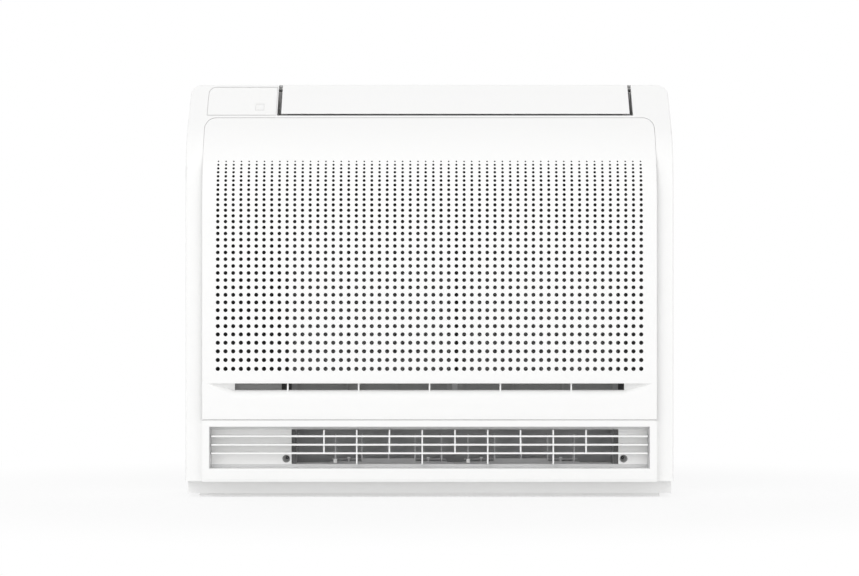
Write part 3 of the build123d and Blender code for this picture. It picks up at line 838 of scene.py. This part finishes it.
def buildOutletScrews():
    screws = bmesh.new()
    cups = bmesh.new()
    ductLow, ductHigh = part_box("lower_duct")
    grilleLow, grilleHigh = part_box("outlet_grille")
    floorY = grilleHigh.y + seatGap
    z = grilleLow.z - seatGap + outletScrews["low"]
    for side, x in ((-1, ductLow.x - outletScrews["inset"]), (1, ductHigh.x + outletScrews["inset"])):
        mouth = Vector((x, floorY, z))
        shift = Vector((-side * outletCups["inward"], 0, outletCups["rise"]))
        seat = mouth + shift + Vector((0, outletScrews["depth"], 0))
        addCup(cups, mouth, shift)
        addScrew(screws, seat, Vector((0, -1, 0)), outletScrews["radius"], outletScrews["height"])
    bmesh.ops.recalc_face_normals(cups, faces=cups.faces)
    newPiece("outletScrews", screws, "zinc_steel", "screw_black")
    newPiece("outletCups", cups, "vane_plastic", "cup_grey")


def buildBackScrews():
    bm = bmesh.new()
    low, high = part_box("back_plate")
    spots = []
    for row in range(backScrews["rows"]):
        share = row / (backScrews["rows"] - 1)
        z = low.z + backScrews["edge"] + share * (high.z - low.z - 2 * backScrews["edge"])
        spots += [(low.x + backScrews["side"], z), (high.x - backScrews["side"], z)]
    for column in range(1, backScrews["top"] - 1):
        x = low.x + (high.x - low.x) * column / (backScrews["top"] - 1)
        spots += [(x, low.z + backScrews["side"]), (x, high.z - backScrews["side"])]
    for x, z in spots:
        addScrew(bm, Vector((x, high.y, z)), Vector((0, 1, 0)), backScrews["radius"], backScrews["height"])
    newPiece("backScrews", bm, "zinc_steel")


buildOutletScrews()
buildBackScrews()
print("screws set")


# Thin seals and sheets: grey sheets of painted shade round the outlet recess, on its foot, ends and roof, a
# white strip between pan and plinth, and white stops that close the ends of the seam under the panel
sealEdge = 0.0002
shadeSheetShape = {
    "low": 0.0432,
    "footHigh": 0.0482,
    "footHalf": 0.3125,
    "footThick": 0.0006,
    "sink": 0.0001,
    "endMouth": {"half": 0.31495, "thick": 0.0005, "inset": 0.0006, "high": 0.1026},
    "endFloor": {"half": 0.31262, "thick": 0.00017, "inset": 0.0212, "high": 0.0980},
    "roofMouth": {"half": 0.3143, "thick": 0.0003, "inset": 0.0006, "high": 0.10288},
    "roofMiddle": {"half": 0.3131, "thick": 0.0003, "inset": 0.0110, "high": 0.10052},
}
panStrip = {"lip": 0.0031, "setback": 0.0006, "depth": 0.008, "end": 0.001}
seamStop = {
    "inner": 0.3226,
    "outer": 0.3246,
    "setback": 0.0024,
    "depth": 0.0025,
    "low": 0.1113,
    "high": 0.1126,
}


def sectionRing(bm, section, left, right, low):
    # four-sided section across the recess, at an inset from its mouth
    y, high = panelLow.y + section["inset"], section["high"]
    places = [(left, y, low), (right, y, low), (right, y, high), (left, y, high)]
    return [bm.verts.new(place) for place in places]


# painted shade: thin grey sheets darken the outlet recess at its foot, ends and roof
def buildRecessShade():
    shadeSheet = bmesh.new()
    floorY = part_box("outlet_grille")[1].y + seatGap
    start = Vector((-shadeSheetShape["footHalf"], floorY - shadeSheetShape["footThick"], shadeSheetShape["low"]))
    end = Vector((shadeSheetShape["footHalf"], floorY + shadeSheetShape["sink"], shadeSheetShape["footHigh"]))
    addBar(shadeSheet, start, end, sealEdge)
    for side in (-1, 1):
        rings = []
        for section in (shadeSheetShape["endMouth"], shadeSheetShape["endFloor"]):
            outer, inner = side * section["half"], side * (section["half"] - section["thick"])
            rings.append(sectionRing(shadeSheet, section, outer, inner, shadeSheetShape["low"]))
        ringSolid(shadeSheet, rings)
    rings = []
    for section in (shadeSheetShape["roofMouth"], shadeSheetShape["roofMiddle"]):
        half, low = section["half"], section["high"] - section["thick"]
        rings.append(sectionRing(shadeSheet, section, -half, half, low))
    ringSolid(shadeSheet, rings)
    bmesh.ops.recalc_face_normals(shadeSheet, faces=shadeSheet.faces)
    newPiece("outletShadeSheet", shadeSheet, "vane_plastic")


def buildWhiteSeals():
    strip = bmesh.new()
    panLow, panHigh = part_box("base_pan")
    front = panLow.y + panStrip["setback"]
    start = Vector((panLow.x + panStrip["end"], front, panStrip["lip"]))
    end = Vector((panHigh.x - panStrip["end"], front + panStrip["depth"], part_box("plinth")[0].z))
    addBar(strip, start, end, sealEdge)
    newPiece("panSeal", strip, "white_plastic")

    stops = bmesh.new()
    front = panelLow.y + seamStop["setback"]
    for left, right in ((-seamStop["outer"], -seamStop["inner"]), (seamStop["inner"], seamStop["outer"])):
        start = Vector((left, front, seamStop["low"]))
        end = Vector((right, front + seamStop["depth"], seamStop["high"]))
        addBar(stops, start, end, sealEdge)
    newPiece("seamStops", stops, "white_plastic")


buildRecessShade()
buildWhiteSeals()
print("seals set")


# Stage: camera at the photograph's place, pale floor, soft even light
cameraSet = {"distance": 4.905, "height": 0.301, "lens": 140.8, "sensor": 36.0}
floorSet = {
    "size": 30.0,
    "colour": (0.9, 0.9, 0.9),
    "nearShare": 0.8,
    "bounceShare": 0.3,
    "fadeFrom": 0.55,
    "fadeTo": 1.1,
}
lightSet = {
    "fill": 0.08,
    "front": 1.50,
    "top": 0.66,
    "spread": 1.6,
    "key": {"place": (-1.5, -3.6, 2.6), "aim": (0.0, 0.0, 0.25), "size": 1.6, "power": 16.0},
}


def cameraRays(tree):
    # 1 for rays from the camera, and for those that metal or clear plastic throws back
    path = tree.nodes.new("ShaderNodeLightPath").outputs
    seen = addMath(tree, "MAXIMUM", path["Is Camera Ray"], path["Is Glossy Ray"])
    return addMath(tree, "MAXIMUM", seen, path["Is Transmission Ray"])


def setCamera():
    data = bpy.data.cameras.new("photoCamera")
    data.sensor_width = cameraSet["sensor"]
    data.lens = cameraSet["lens"]
    camera = bpy.data.objects.new("photoCamera", data)
    camera.location = (0, -cameraSet["distance"], cameraSet["height"])
    camera.rotation_euler = (math.radians(90), 0, 0)
    scene.collection.objects.link(camera)
    scene.camera = camera


def setWorld():
    # a wide soft light from the front, another behind, and one overhead; plain white to the camera
    world = bpy.data.worlds.new("studio")
    world.use_nodes = True
    tree = world.node_tree
    back = tree.nodes["Background"]
    back.inputs["Color"].default_value = (1, 1, 1, 1)
    place = splitPlace(tree, "Generated")
    total = lightSet["fill"]
    for axis, operation, power in (("Y", "ABSOLUTE", lightSet["front"]), ("Z", "MAXIMUM", lightSet["top"])):
        facing = addMath(tree, operation, place[axis], 0.0)
        lobe = addMath(tree, "MULTIPLY", addMath(tree, "POWER", facing, lightSet["spread"]), power)
        total = addMath(tree, "ADD", lobe, total)
    strength = addNode(tree, "ShaderNodeMix", Factor=cameraRays(tree), A=total, B=1.0)
    tree.links.new(strength.outputs["Result"], back.inputs["Strength"])
    scene.world = world


def setFloor():
    half = floorSet["size"] / 2
    mesh = bpy.data.meshes.new("floor")
    corners = [(-half, -half, 0), (half, -half, 0), (half, half, 0), (-half, half, 0)]
    mesh.from_pydata(corners, [], [(0, 1, 2, 3)])
    floor = bpy.data.objects.new("floor", mesh)
    scene.collection.objects.link(floor)
    material, tree, shader = newMaterial("floorPaper")
    tree.nodes.remove(shader)
    paper = addNode(tree, "ShaderNodeBsdfDiffuse", Color=(*floorSet["colour"], 1))
    glow = addNode(tree, "ShaderNodeEmission", Color=(1, 1, 1, 1), Strength=1.0)
    reach = tree.nodes.new("ShaderNodeVectorMath")
    reach.operation = "LENGTH"
    tree.links.new(placeOf(tree), reach.inputs[0])
    ranges = {
        "Value": reach.outputs["Value"],
        "From Min": floorSet["fadeFrom"],
        "From Max": floorSet["fadeTo"],
        "To Min": floorSet["nearShare"],
        "To Max": 1.0,
    }
    fade = addNode(tree, "ShaderNodeMapRange", **ranges)
    fade.interpolation_type = "SMOOTHSTEP"
    rays = addRange(tree, cameraRays(tree), floorSet["bounceShare"], 1.0)
    share = addMath(tree, "MULTIPLY", fade.outputs["Result"], rays)
    mix = addNode(tree, "ShaderNodeMixShader", Fac=share)
    tree.links.new(paper.outputs[0], mix.inputs[1])
    tree.links.new(glow.outputs[0], mix.inputs[2])
    tree.links.new(mix.outputs[0], tree.nodes["Material Output"].inputs["Surface"])
    mesh.materials.append(material)


def setLamp(name, lamp):
    data = bpy.data.lights.new(name, "AREA")
    data.shape = "DISK"
    data.size = lamp["size"]
    data.energy = lamp["power"]
    light = bpy.data.objects.new(name, data)
    light.location = lamp["place"]
    aim = Vector(lamp["aim"]) - Vector(lamp["place"])
    light.rotation_euler = aim.to_track_quat("-Z", "Y").to_euler()
    scene.collection.objects.link(light)


setCamera()
setWorld()
setFloor()
setLamp("keyLamp", lightSet["key"])
scene.view_settings.view_transform = "Standard"
print("stage set")
